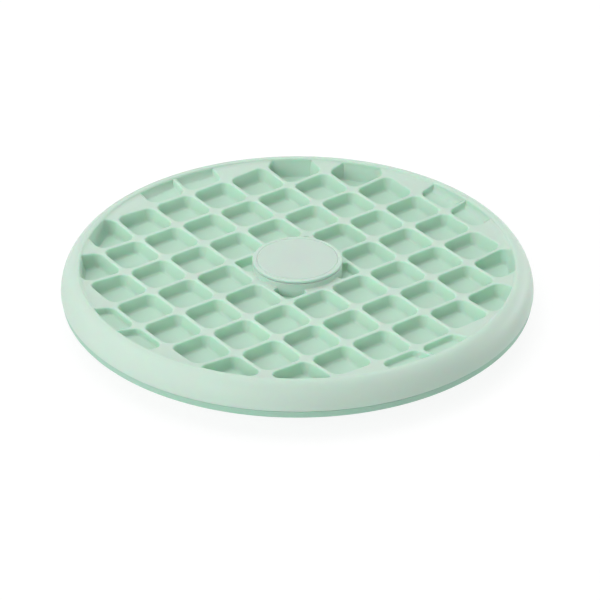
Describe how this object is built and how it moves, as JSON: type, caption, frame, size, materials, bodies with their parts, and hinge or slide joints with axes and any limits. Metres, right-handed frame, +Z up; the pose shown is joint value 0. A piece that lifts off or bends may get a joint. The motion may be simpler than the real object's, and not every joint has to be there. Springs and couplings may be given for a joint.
{
  "type": "slow feeder tray",
  "caption": "Round slow feeder tray with square drafted pockets, a rounded rim and a quarter-turn knob, turning on a low base with a soft foot ring.",
  "frame": {"origin": "on the tray's axis, on the surface that the foot ring stands on", "axes": "+Z up along the tray's axis, +X and +Y along the two sets of ribs"},
  "size_m": [0.2642, 0.2642, 0.033],
  "materials": {
    "base_plastic": "satin moulded",
    "foot_rubber": "matte moulded",
    "bush_plastic": "natural acetal",
    "tray_plastic": "satin moulded",
    "seal_rubber": "matte moulded",
    "stem_plastic": "natural acetal",
    "cap_plastic": "satin moulded"
  },
  "bodies": {
    "base": {"base_pan": "base_plastic", "base_hub": "base_plastic", "foot_ring": "foot_rubber"},
    "bush": {"hub_bush": "bush_plastic"},
    "tray": {"feeder_tray": "tray_plastic", "rib_grid": "tray_plastic"},
    "seal": {"knob_seal": "seal_rubber"},
    "knob": {"knob_stem": "stem_plastic", "knob_cap": "cap_plastic"}
  },
  "joints": [
    {"name": "tray_lift", "type": "slide", "parent": "base", "child": "bush", "axis": [0, 0, 1], "range_m": [0, 0.025]},
    {"name": "tray_spin", "type": "hinge", "parent": "bush", "child": "tray", "pos_m": [0, 0, 0.0185], "axis": [0, 0, 1], "continuous": true},
    {"name": "knob_lift", "type": "slide", "parent": "bush", "child": "seal", "axis": [0, 0, 1], "range_m": [0, 0.02]},
    {"name": "knob_turn", "type": "hinge", "parent": "seal", "child": "knob", "pos_m": [0, 0, 0.031], "axis": [0, 0, 1], "range_deg": [0, 90]}
  ]
}
